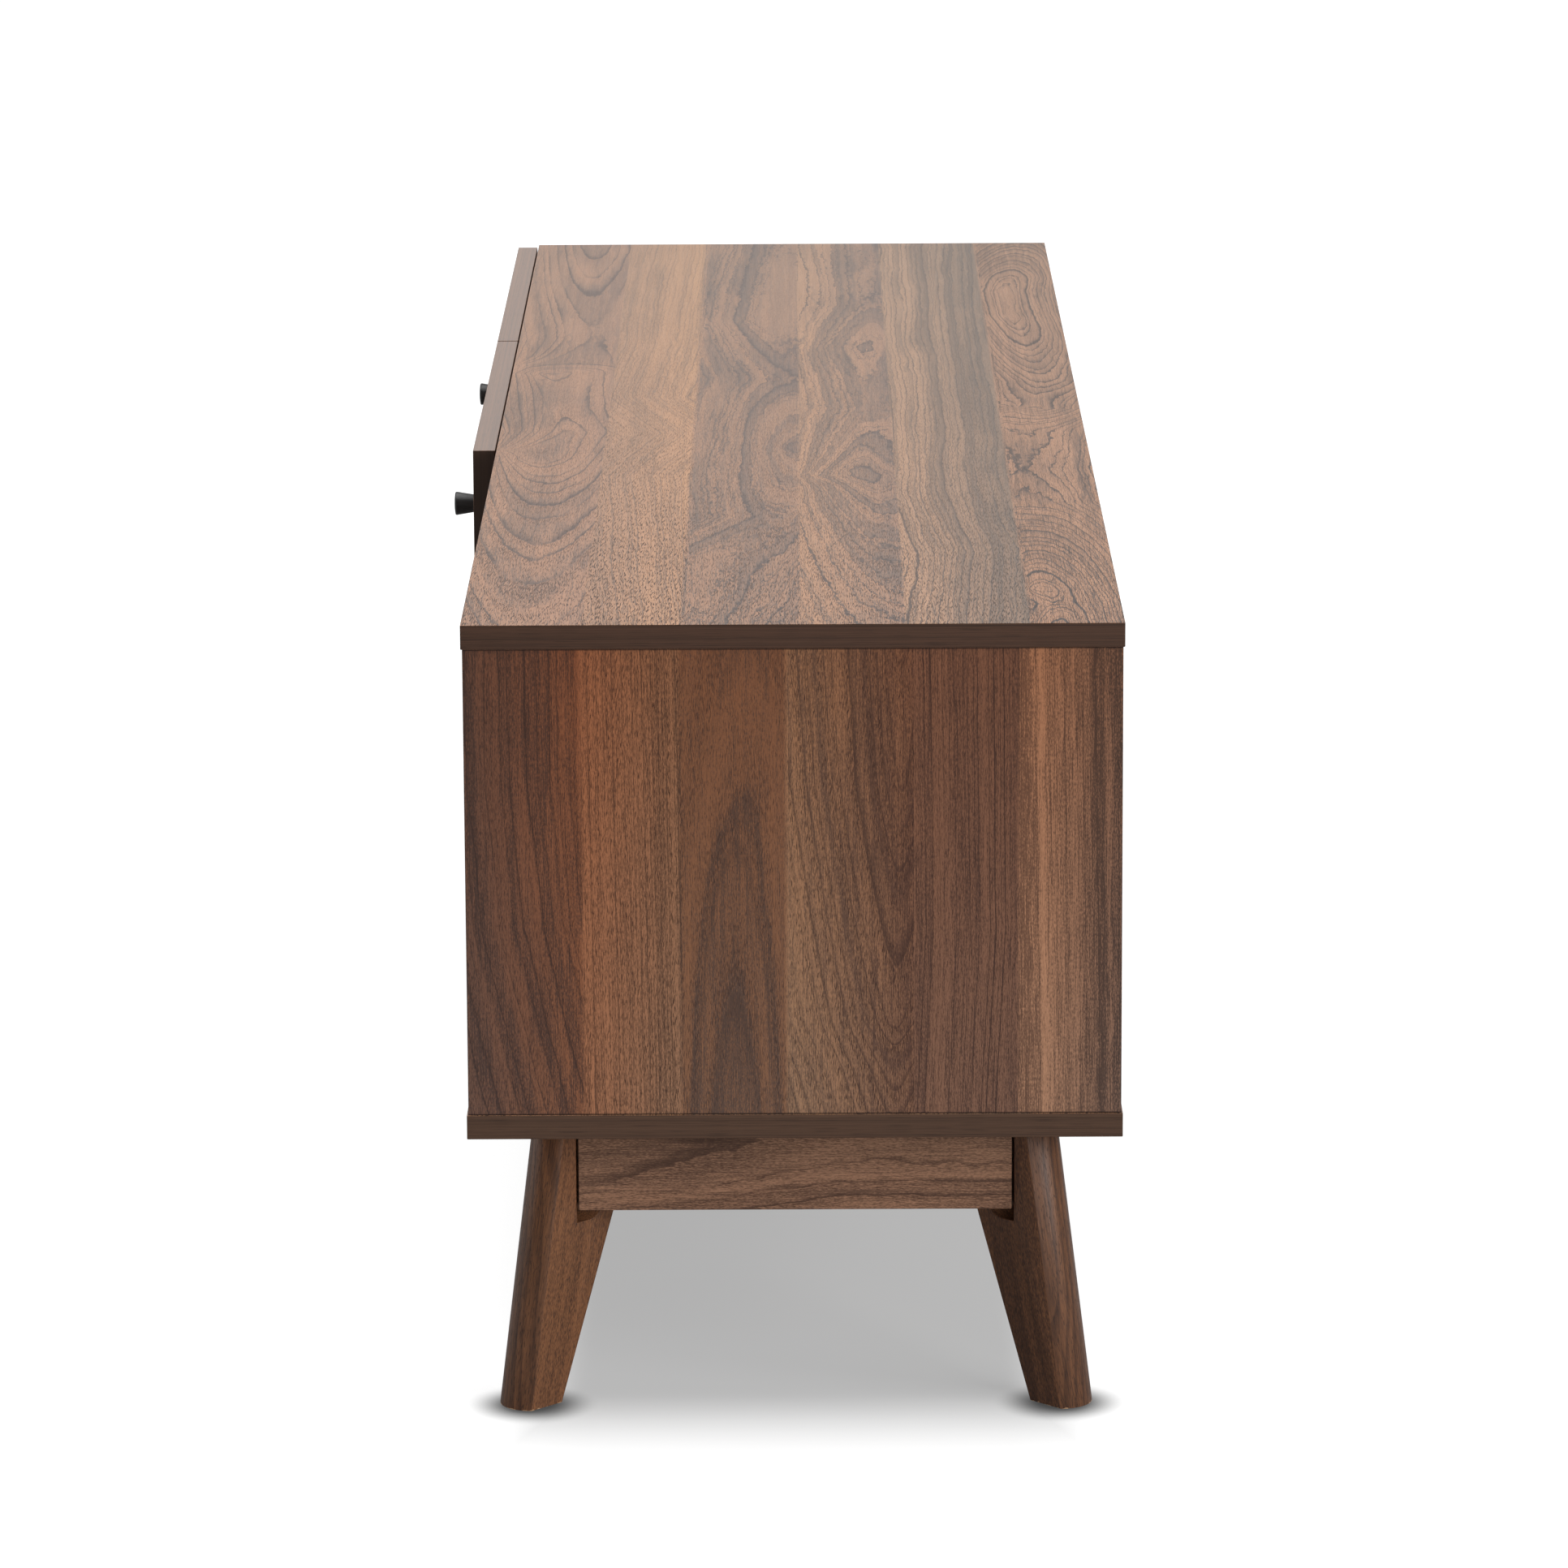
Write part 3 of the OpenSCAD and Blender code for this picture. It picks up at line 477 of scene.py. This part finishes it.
# Painted shade: the drawer fronts' end bands, which look along X, are mixed this far towards this dark
# colour, standing in for the shade the carcass casts on them
END_BAND_SHADE = srgb(40, 22, 11)
END_BAND_SHADE_SHARE = 0.85
# The dark joint line where an upright panel meets a slab, partly a real joint and partly painted shade in
# the narrow gap: its colour, and where it starts and ends
SEAM_AND_SHADE_DARK = srgb(30, 21, 17)
SEAM_AND_SHADE_NEAR, SEAM_AND_SHADE_FAR = 0.4 * MM, 1.3 * MM
SEAM_AND_SHADE_STRENGTH = 0.7
# A surface is a board's face, and not its edge, where its normal is this close to the face's own
FACE_LIMIT = 0.7
LAMINATE_BUMP_MM = 0.05


def laminate(name, planks, u, v, long_m, wide_m, face, band_along, band_across, rough,
             pore_long=220.0, pore_wide=3000.0, contrast=1.5, crisp=(1.0, 1.0), crinkle=0.0008,
             painted_sheen=None, bands=BAND, painted_shade_ends=False, seam=None, **fixed):
    """u, v, face, band_along and band_across are functions of the material's graph.

    u and v: place on the print. face: how far the normal is the board's own. band_along and
    band_across: place on the edge bands, in metres. rough: roughness of the face. painted_sheen: two
    tints that multiply the print at its start and its end, a painted sheen that turns the print greyer
    and bluer towards one end, as if it reflected more white light there. bands: light and dark colour
    of the edge bands. painted_shade_ends: the bands that look along X are darker, as painted shade.
    seam: the heights of the two joints where an upright panel meets the slabs, where the panel darkens
    in a dark joint line that is partly painted shade in the gap.
    """
    g = Graph(name)
    wood = Print(g, planks, u(g), v(g), long_m, wide_m, pore_long, pore_wide, contrast, crisp, crinkle)
    band = edge_band(g, band_along(g), band_across(g), *bands)
    # Painted shade on the bands that look along X
    if painted_shade_ends:
        band = g.mix(abs(g.nx).above(FACE_LIMIT) * END_BAND_SHADE_SHARE, band, END_BAND_SHADE)
    on_face = abs(face(g)).above(FACE_LIMIT)
    grain = wood.colour
    # Painted sheen: the print is tinted greyer and bluer towards one end, as if it reflected more white
    # light there
    if painted_sheen:
        grain = g.mix(1.0, grain, g.mix(u(g), *painted_sheen), blend="MULTIPLY")
    colour = g.mix(on_face, band, grain)
    # Painted shade: the panel darkens next to the slabs, as a dark joint line together with the shade in
    # the gap there
    if seam:
        near = g.math("MINIMUM", g.z - seam[0], seam[1] - g.z)
        colour = g.mix(g.ease(near, SEAM_AND_SHADE_NEAR, SEAM_AND_SHADE_FAR, SEAM_AND_SHADE_STRENGTH, 0.0), colour, SEAM_AND_SHADE_DARK)
    uneven = (wood.fibre - 0.5) * 0.10 + wood.pore * 0.12
    shine = (uneven + (rough - BAND_ROUGH)) * on_face + BAND_ROUGH
    return g.finish(colour, shine, wood.height * on_face, LAMINATE_BUMP_MM, **fixed)


def assign(material, *names):
    for name in names:
        node = frame["nodes"][name]
        for slot in node.material_slots:
            slot.link = "OBJECT"
            slot.material = material


slab_low, slab_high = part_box("top_panel")
slab = slab_high - slab_low
middle_y = (slab_low.y + slab_high.y) / 2
end_low, end_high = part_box("right_side_panel")
end = end_high - end_low
front_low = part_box("left_drawer_front")[0]
front_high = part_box("middle_drawer_front")[1]
fronts = front_high - front_low
rail_low, rail_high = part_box("front_apron")
rail = rail_high - rail_low

# The print of the level boards gets clearer towards the open-bay end, and a painted sheen turns it greyer
# and bluer towards the far end
LEVEL_BOARDS = {
    "top_laminate": (SHADED_TOP_BAND, ["top_panel"]),
    "base_laminate": (BAND, ["bottom_panel", "left_fixed_shelf", "middle_fixed_shelf", "bay_shelf"]),
}
for name, (bands, boards) in LEVEL_BOARDS.items():
    assign(laminate(
        name, TOP_PLANKS,
        lambda g: (g.x - slab_low.x) / slab.x, lambda g: (g.y - slab_low.y) / slab.y, slab.x, slab.y,
        face=lambda g: g.nz, band_along=lambda g: g.x + g.y, band_across=lambda g: g.z, rough=0.46,
        pore_long=120.0, pore_wide=1800.0, contrast=1.1, crisp=(0.14, 1.6), crinkle=0.0022,
        painted_sheen=((0.87, 0.95, 1.01), (0.98, 0.96, 0.93)), bands=bands, Specular_IOR_Level=0.2),
        *boards)


def end_across(g):
    """Across an upright panel. The faces that look to the left carry the mirrored print."""
    side = g.nx.sign()
    return ((g.y - end_low.y) / end.y - 0.5) * side + 0.5


assign(laminate(
    "panel_laminate", END_PLANKS,
    lambda g: (end_high.z - g.z) / end.z, end_across, end.z, end.y,
    face=lambda g: g.nx, band_along=lambda g: g.z, band_across=lambda g: g.x, rough=0.5,
    # Painted sheen: the print is warmer and darker at the top and paler and bluer at the bottom, standing
    # in for floor light reflected in the panel
    painted_sheen=((0.90, 0.79, 0.70), (1.02, 1.11, 1.19)), seam=(end_low.z, end_high.z),
    Specular_IOR_Level=0.14),
    "right_side_panel", "left_side_panel", "left_partition", "right_partition")
assign(laminate(
    "front_laminate", FRONT_PLANKS,
    lambda g: (g.x - front_low.x) / fronts.x, lambda g: (g.z - front_low.z) / fronts.z, fronts.x, fronts.z,
    face=lambda g: g.ny, band_along=lambda g: g.x + g.z, band_across=lambda g: g.y, rough=0.5,
    bands=SHEEN_FRONT_BAND, painted_shade_ends=True, Specular_IOR_Level=0.3),
    "left_drawer_front", "middle_drawer_front")
assign(laminate(
    "apron_laminate", RAIL_PLANKS,
    lambda g: (g.x + g.y + slab.x / 2) / slab.x, lambda g: (g.z - rail_low.z) / rail.z, slab.x, rail.z,
    face=lambda g: 1.0 - abs(g.nz), band_along=lambda g: g.x + g.y, band_across=lambda g: g.x - g.y,
    rough=0.5, Specular_IOR_Level=0.12),
    "front_apron", "rear_apron", "left_apron", "right_apron")

# --- Solid stained legs --------------------------------------------------------------------------
LEG_LIGHT = srgb(130, 87, 58)
LEG_DARK = srgb(66, 43, 31)
LEG_PORE = srgb(40, 27, 21)
LEG_WORN = srgb(176, 138, 104)
LEG_RING = 0.0036
# The rings' centre lies this far inside the leg, along the corner's diagonal and square to it
LEG_PITH_OUT, LEG_PITH_BESIDE = 0.075, 0.05
DIAGONAL = 0.7071
# How far a leg's foot stands out from its head, for each metre of height
LEG_LEAN = 0.24
# Stain is worn off between these heights of the foot's rim
WORN_LOW, WORN_HIGH = 0.0017, 0.0034


def leg_material():
    """Straight grain along each leg, which stands on its corner's diagonal and leans outwards."""
    g = Graph("leg_wood")
    side_x, side_y = g.x.sign(), (g.y - middle_y).sign()
    out = (abs(g.x) + abs(g.y - middle_y) - (slab.x + slab.y) / 2) * DIAGONAL
    out = out + g.z * LEG_LEAN
    beside = (abs(g.x) - abs(g.y - middle_y) - (slab.x - slab.y) / 2) * DIAGONAL
    seed = side_x * 4.1 + side_y * 9.7
    bend = g.noise(g.z * 6.0 + seed, out * 20.0, detail=1.0) - 0.5
    radius = g.length(out + LEG_PITH_OUT + bend * 0.008, beside + LEG_PITH_BESIDE + bend * 0.006)
    count = radius / LEG_RING + seed
    count = count + g.noise_1d(count * 0.6)
    part = count.part()
    late = g.ease(part, 0.35, 0.9) * g.ease(part, 0.93, 1.0, 1.0, 0.0)
    fibre = g.noise_3d(out * 1100.0, beside * 1100.0, g.z * 22.0 + seed, detail=3.0, rough=0.65)
    speck = g.noise_3d(out * 1600.0, beside * 1600.0, g.z * 420.0, detail=1.0) - 0.5
    streak = g.noise_3d(out * 120.0, beside * 120.0, g.z * 3.0 + seed, detail=2.0) - 0.5
    pore = g.ease(g.noise_3d(out * 1700.0, beside * 1700.0, g.z * 240.0 + seed, detail=0.0), 0.62, 0.72)
    # Painted shade by face, following the key light from the right: on the front legs the rounded outer
    # edge is darker than the flat faces, partly as darker edge grain, and the rear legs are darker, most of
    # all on their flat faces
    outer = g.ease((g.nx * side_x + g.ny * side_y) * DIAGONAL, 0.4, 0.6)
    flat = 1.0 - outer
    tone = (side_y * 0.21 + 0.08) * flat + (side_y * 0.05 + 0.13) * outer
    fine = (fibre - 0.5) * (outer * 0.5 + 0.9) + speck * flat * 1.7
    shade = late * (outer * 0.12 + 0.16) + streak * 0.9 + fine + tone + 0.24
    colour = g.mix(g.ease(shade, -0.4, 1.0), LEG_LIGHT, LEG_DARK)
    colour = g.mix(pore * 0.6, colour, LEG_PORE)
    chip = g.noise_3d(g.x * 260.0, g.y * 260.0, g.z * 500.0)
    rim = g.ease(g.z, WORN_LOW, WORN_HIGH, 1.0, 0.0)
    colour = g.mix(g.ease(chip + rim * 0.36, 0.84, 0.92), colour, LEG_WORN)
    rough = 0.38 + (fibre - 0.5) * 0.14 + pore * 0.1
    return g.finish(colour, rough, 1.0 - pore * 0.7 + (fibre - 0.5) * 0.4, 0.04, Specular_IOR_Level=0.25)


assign(leg_material(), "front_left_leg", "front_right_leg", "rear_left_leg", "rear_right_leg")


# --- Plain parts ---------------------------------------------------------------------------------
def fine_board(name, light, dark, rough):
    """Plain brown board with a faint straight grain along its longer side."""
    g = Graph(name)
    line = g.noise_3d(g.x * 4.0 + g.y * 4.0, (g.x - g.y) * 90.0, g.z * 700.0, detail=3.0, rough=0.6)
    tick = g.noise_3d((g.x + g.y) * 120.0, (g.x - g.y) * 90.0, g.z * 1800.0, detail=0.0)
    shade = line + g.ease(tick, 0.6, 0.7) * 0.15
    colour = g.mix(g.ease(shade, 0.3, 0.75), light, dark)
    return g.finish(colour, rough + line * 0.1, line, 0.03, Specular_IOR_Level=0.3)


def fibre_board(name, light, dark):
    """Thin hardboard: pressed fibres with no direction, and a few darker flecks."""
    g = Graph(name)
    felt = g.noise_3d(g.x * 700.0, g.y * 700.0, g.z * 700.0, detail=4.0, rough=0.7)
    fleck = g.ease(g.noise_3d(g.x * 160.0, g.y * 160.0, g.z * 160.0, detail=2.0), 0.60, 0.68)
    cloud = g.noise_3d(g.x * 9.0, g.y * 9.0, g.z * 9.0, detail=3.0)
    colour = g.mix(g.ease(felt * 0.85 + cloud * 0.15, 0.35, 0.65), light, dark)
    colour = g.mix(fleck * 0.2, colour, srgb(58, 40, 28))
    return g.finish(colour, 0.62 + felt * 0.15, felt, 0.05, Specular_IOR_Level=0.2)


def beech():
    g = Graph("dowel_beech")
    fibre = g.noise_3d(g.x * 500.0, g.y * 500.0, g.z * 500.0, detail=2.0)
    fleck = g.ease(g.noise_3d(g.x * 900.0, g.y * 900.0, g.z * 900.0, detail=0.0), 0.60, 0.70)
    colour = g.mix(fibre, srgb(214, 178, 132), srgb(190, 150, 106))
    colour = g.mix(fleck * 0.5, colour, srgb(150, 108, 72))
    return g.finish(colour, 0.6 + fibre * 0.15, fibre, 0.04, Specular_IOR_Level=0.3)


def painted(name, light, dark, rough, bump_mm):
    """Satin paint or plastic, with a faint orange peel and small differences in gloss."""
    g = Graph(name)
    peel = g.noise_3d(g.x * 1500.0, g.y * 1500.0, g.z * 1500.0, detail=2.0)
    smear = g.noise_3d(g.x * 180.0, g.y * 180.0, g.z * 180.0, detail=3.0)
    colour = g.mix(g.ease(smear, 0.35, 0.7), light, dark)
    return g.finish(colour, rough + (smear - 0.5) * 0.16, peel, bump_mm, Specular_IOR_Level=0.5)


def zinc_plate():
    """Bright zinc: small crystals, faint brushing along Y, and a little blue and yellow in the gloss."""
    g = Graph("zinc_steel")
    brush = g.noise_3d(g.x * 1800.0, g.y * 25.0, g.z * 1800.0, detail=2.0)
    cloud = g.noise_3d(g.x * 70.0, g.y * 70.0, g.z * 70.0, detail=3.0)
    colour = g.mix(g.ease(cloud, 0.35, 0.65), srgb(204, 206, 208), srgb(190, 190, 182))
    colour = g.mix(g.ease(brush, 0.45, 0.75) * 0.35, colour, srgb(140, 142, 146))
    return g.finish(colour, 0.26 + brush * 0.16 + cloud * 0.08, brush, 0.02, Metallic=1.0)


assign(fine_board("drawer_laminate", srgb(128, 98, 74), srgb(96, 72, 54), 0.5),
       *[f"{d}_drawer_{part}" for d in ("left", "middle") for part in ("left_side", "right_side", "back")])
assign(fibre_board("hardboard", srgb(122, 90, 64), srgb(92, 66, 46)),
       "left_back_panel", "middle_back_panel", "right_back_panel",
       "left_drawer_bottom", "middle_drawer_bottom")
assign(beech(), "dowels")
assign(painted("knob_black", srgb(30, 30, 31), srgb(22, 22, 23), 0.42, 0.01), "left_knob", "middle_knob")
assign(painted("glide_plastic", srgb(46, 46, 46), srgb(36, 36, 36), 0.55, 0.02), "foot_glides")
STEEL_WORDS = ("rail_", "screw", "cam", "bolts", "nuts", "brackets", "pins")
assign(zinc_plate(), *[name for name in frame["nodes"] if any(word in name for word in STEEL_WORDS)])

# --- Softened edges of the boards and legs -------------------------------------------------------
SOFT_EDGE = 0.5 * MM
EDGE_ANGLE = math.radians(40)
JOIN_GAP = 0.001 * MM
BOARDS = ["top_panel", "bottom_panel", "left_side_panel", "right_side_panel", "left_partition",
          "right_partition", "left_fixed_shelf", "middle_fixed_shelf", "bay_shelf",
          "front_apron", "rear_apron", "left_apron", "right_apron",
          "front_left_leg", "front_right_leg", "rear_left_leg", "rear_right_leg",
          "left_drawer_front", "middle_drawer_front"]
for name in BOARDS:
    node = frame["nodes"][name]
    node.modifiers.new("join_faces", "WELD").merge_threshold = JOIN_GAP
    arris = node.modifiers.new("arris", "BEVEL")
    arris.width = SOFT_EDGE
    arris.segments = 2
    arris.limit_method = "ANGLE"
    arris.angle_limit = EDGE_ANGLE
    arris.use_clamp_overlap = False

# --- Floor, light and camera ---------------------------------------------------------------------
scene = bpy.context.scene
scene.view_settings.view_transform = "Standard"
scene.view_settings.look = "None"

WORLD_LIGHT = 0.2
WORLD_SEEN = 1.0
FLOOR_SIZE = 24.0
# The floor's whiteness for the light that bounces off it, and for the camera
FLOOR_BOUNCE = 0.42
FLOOR_SEEN = 0.25
FLOOR_ROUGH = 0.9
# The floor's own brightness under the object, beside it and far off: lower under the object as a painted
# shadow, and rising slowly with distance as that shadow's painted soft edge
GLOW_UNDER, GLOW_BESIDE, GLOW_FAR = 0.385, 0.84, 0.98
# The shade under the slab ends between these distances past its ends, and past its front and back
SHADE_END = (-0.07, 0.09)
SHADE_FRONT = (-0.07, -0.012)
FAR_START, FAR_FULL = 0.07, 1.37
# The contact shadow round each foot: its darkness, and where it starts and ends
CONTACT_DARK = 0.12
CONTACT = (12 * MM, 43 * MM)
GLIDE_RADIUS = 9 * MM

# The studio is white to the eye, and throws less light on the object than it would if it were real
world = bpy.data.worlds.new("studio")
world.use_nodes = True
sky = world.node_tree
seen = sky.nodes.new("ShaderNodeLightPath").outputs["Is Camera Ray"]
strength = sky.nodes.new("ShaderNodeMapRange")
strength.inputs["To Min"].default_value = WORLD_LIGHT
strength.inputs["To Max"].default_value = WORLD_SEEN
sky.links.new(seen, strength.inputs["Value"])
sky.links.new(strength.outputs[0], sky.nodes["Background"].inputs["Strength"])
sky.nodes["Background"].inputs["Color"].default_value = (1.0, 1.0, 1.0, 1.0)
scene.world = world

half = FLOOR_SIZE / 2
floor_mesh = bpy.data.meshes.new("floor")
floor_mesh.from_pydata([(-half, -half, 0), (half, -half, 0), (half, half, 0), (-half, half, 0)],
                       [], [(0, 1, 2, 3)])
floor = bpy.data.objects.new("floor", floor_mesh)
scene.collection.objects.link(floor)
g = Graph("studio_floor")
seen = Field(g, g.add("LightPath").outputs["Is Camera Ray"])
foot_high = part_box("foot_glides")[1]
foot_x, foot_y = foot_high.x - GLIDE_RADIUS, foot_high.y - middle_y - GLIDE_RADIUS
side_x, side_y = abs(g.x), abs(g.y - middle_y)
past_end = side_x - slab.x / 2
past_front = side_y - slab.y / 2
# Painted shadow: the floor glows less under the slab, and more with distance past its edges
open_floor = g.math("MAXIMUM", g.ease(past_end, *SHADE_END), g.ease(past_front, *SHADE_FRONT))
glow = open_floor * (GLOW_BESIDE - GLOW_UNDER) + GLOW_UNDER
past_edge = g.math("MAXIMUM", past_end, past_front)
glow = glow + g.ease(past_edge, FAR_START, FAR_FULL, 0.0, GLOW_FAR - GLOW_BESIDE)
# Painted contact shadow: round each foot the floor's glow and its whiteness to the camera are turned down
contact = g.ease(g.length(side_x - foot_x, side_y - foot_y), *CONTACT, CONTACT_DARK, 1.0)
white = seen * (contact * FLOOR_SEEN - FLOOR_BOUNCE) + FLOOR_BOUNCE
floor_mesh.materials.append(g.finish(
    g.join(white, white, white), FLOOR_ROUGH, None, 0.0,
    Emission_Color=(1.0, 1.0, 1.0, 1.0), Specular_IOR_Level=0.0))
shader = next(node for node in g.tree.nodes if node.type == "BSDF_PRINCIPLED")
g.put(shader.inputs["Emission Strength"], seen * glow * contact)


def softbox(name, place, target, wide, tall, radiance):
    """A rectangular light. radiance is how bright its face is, where 1 is the white of the screen."""
    light = bpy.data.lights.new(name, "AREA")
    light.shape = "RECTANGLE"
    light.size = wide
    light.size_y = tall
    light.energy = radiance * math.pi * wide * tall
    lamp = bpy.data.objects.new(name, light)
    lamp.location = place
    lamp.rotation_euler = (Vector(target) - Vector(place)).to_track_quat("-Z", "Y").to_euler()
    scene.collection.objects.link(lamp)


softbox("overhead", (-0.3, 0.0, 3.4), (-0.3, 0.0, 0.5), wide=4.0, tall=3.0, radiance=4.3)
softbox("key", (3.0, 3.2, 1.6), (0.6, 0.0, 0.3), wide=3.0, tall=2.2, radiance=6.0)
softbox("fill", (4.6, 0.7, 0.9), (0.7, 0.0, 0.3), wide=2.2, tall=1.4, radiance=3.0)
softbox("front", (-0.5, -4.4, 0.9), (-0.1, 0.0, 0.25), wide=4.0, tall=1.6, radiance=1.3)
softbox("backdrop", (-4.5, 0.0, 1.9), (0.0, 0.0, 0.5), wide=5.0, tall=2.4, radiance=1.0)

LENS = 176.1
SENSOR = 36.0
FAR_CLIP = 100.0
CAMERA_PLACE = (5.2647, 0.0219, 1.4248)
PITCH = math.radians(12.77)
YAW = math.radians(-0.10)
ROLL = math.radians(-0.277)

forward = Vector((-math.cos(PITCH) * math.cos(YAW), math.cos(PITCH) * math.sin(YAW), -math.sin(PITCH)))
level_right = forward.cross(Vector((0, 0, 1))).normalized()
level_up = level_right.cross(forward)
right = level_right * math.cos(ROLL) + level_up * math.sin(ROLL)
up = level_up * math.cos(ROLL) - level_right * math.sin(ROLL)
camera_data = bpy.data.cameras.new("camera")
camera_data.lens = LENS
camera_data.sensor_width = SENSOR
camera_data.clip_end = FAR_CLIP
camera = bpy.data.objects.new("camera", camera_data)
turn = Matrix((right, up, -forward)).transposed().to_4x4()
camera.matrix_world = Matrix.Translation(CAMERA_PLACE) @ turn
scene.collection.objects.link(camera)
scene.camera = camera
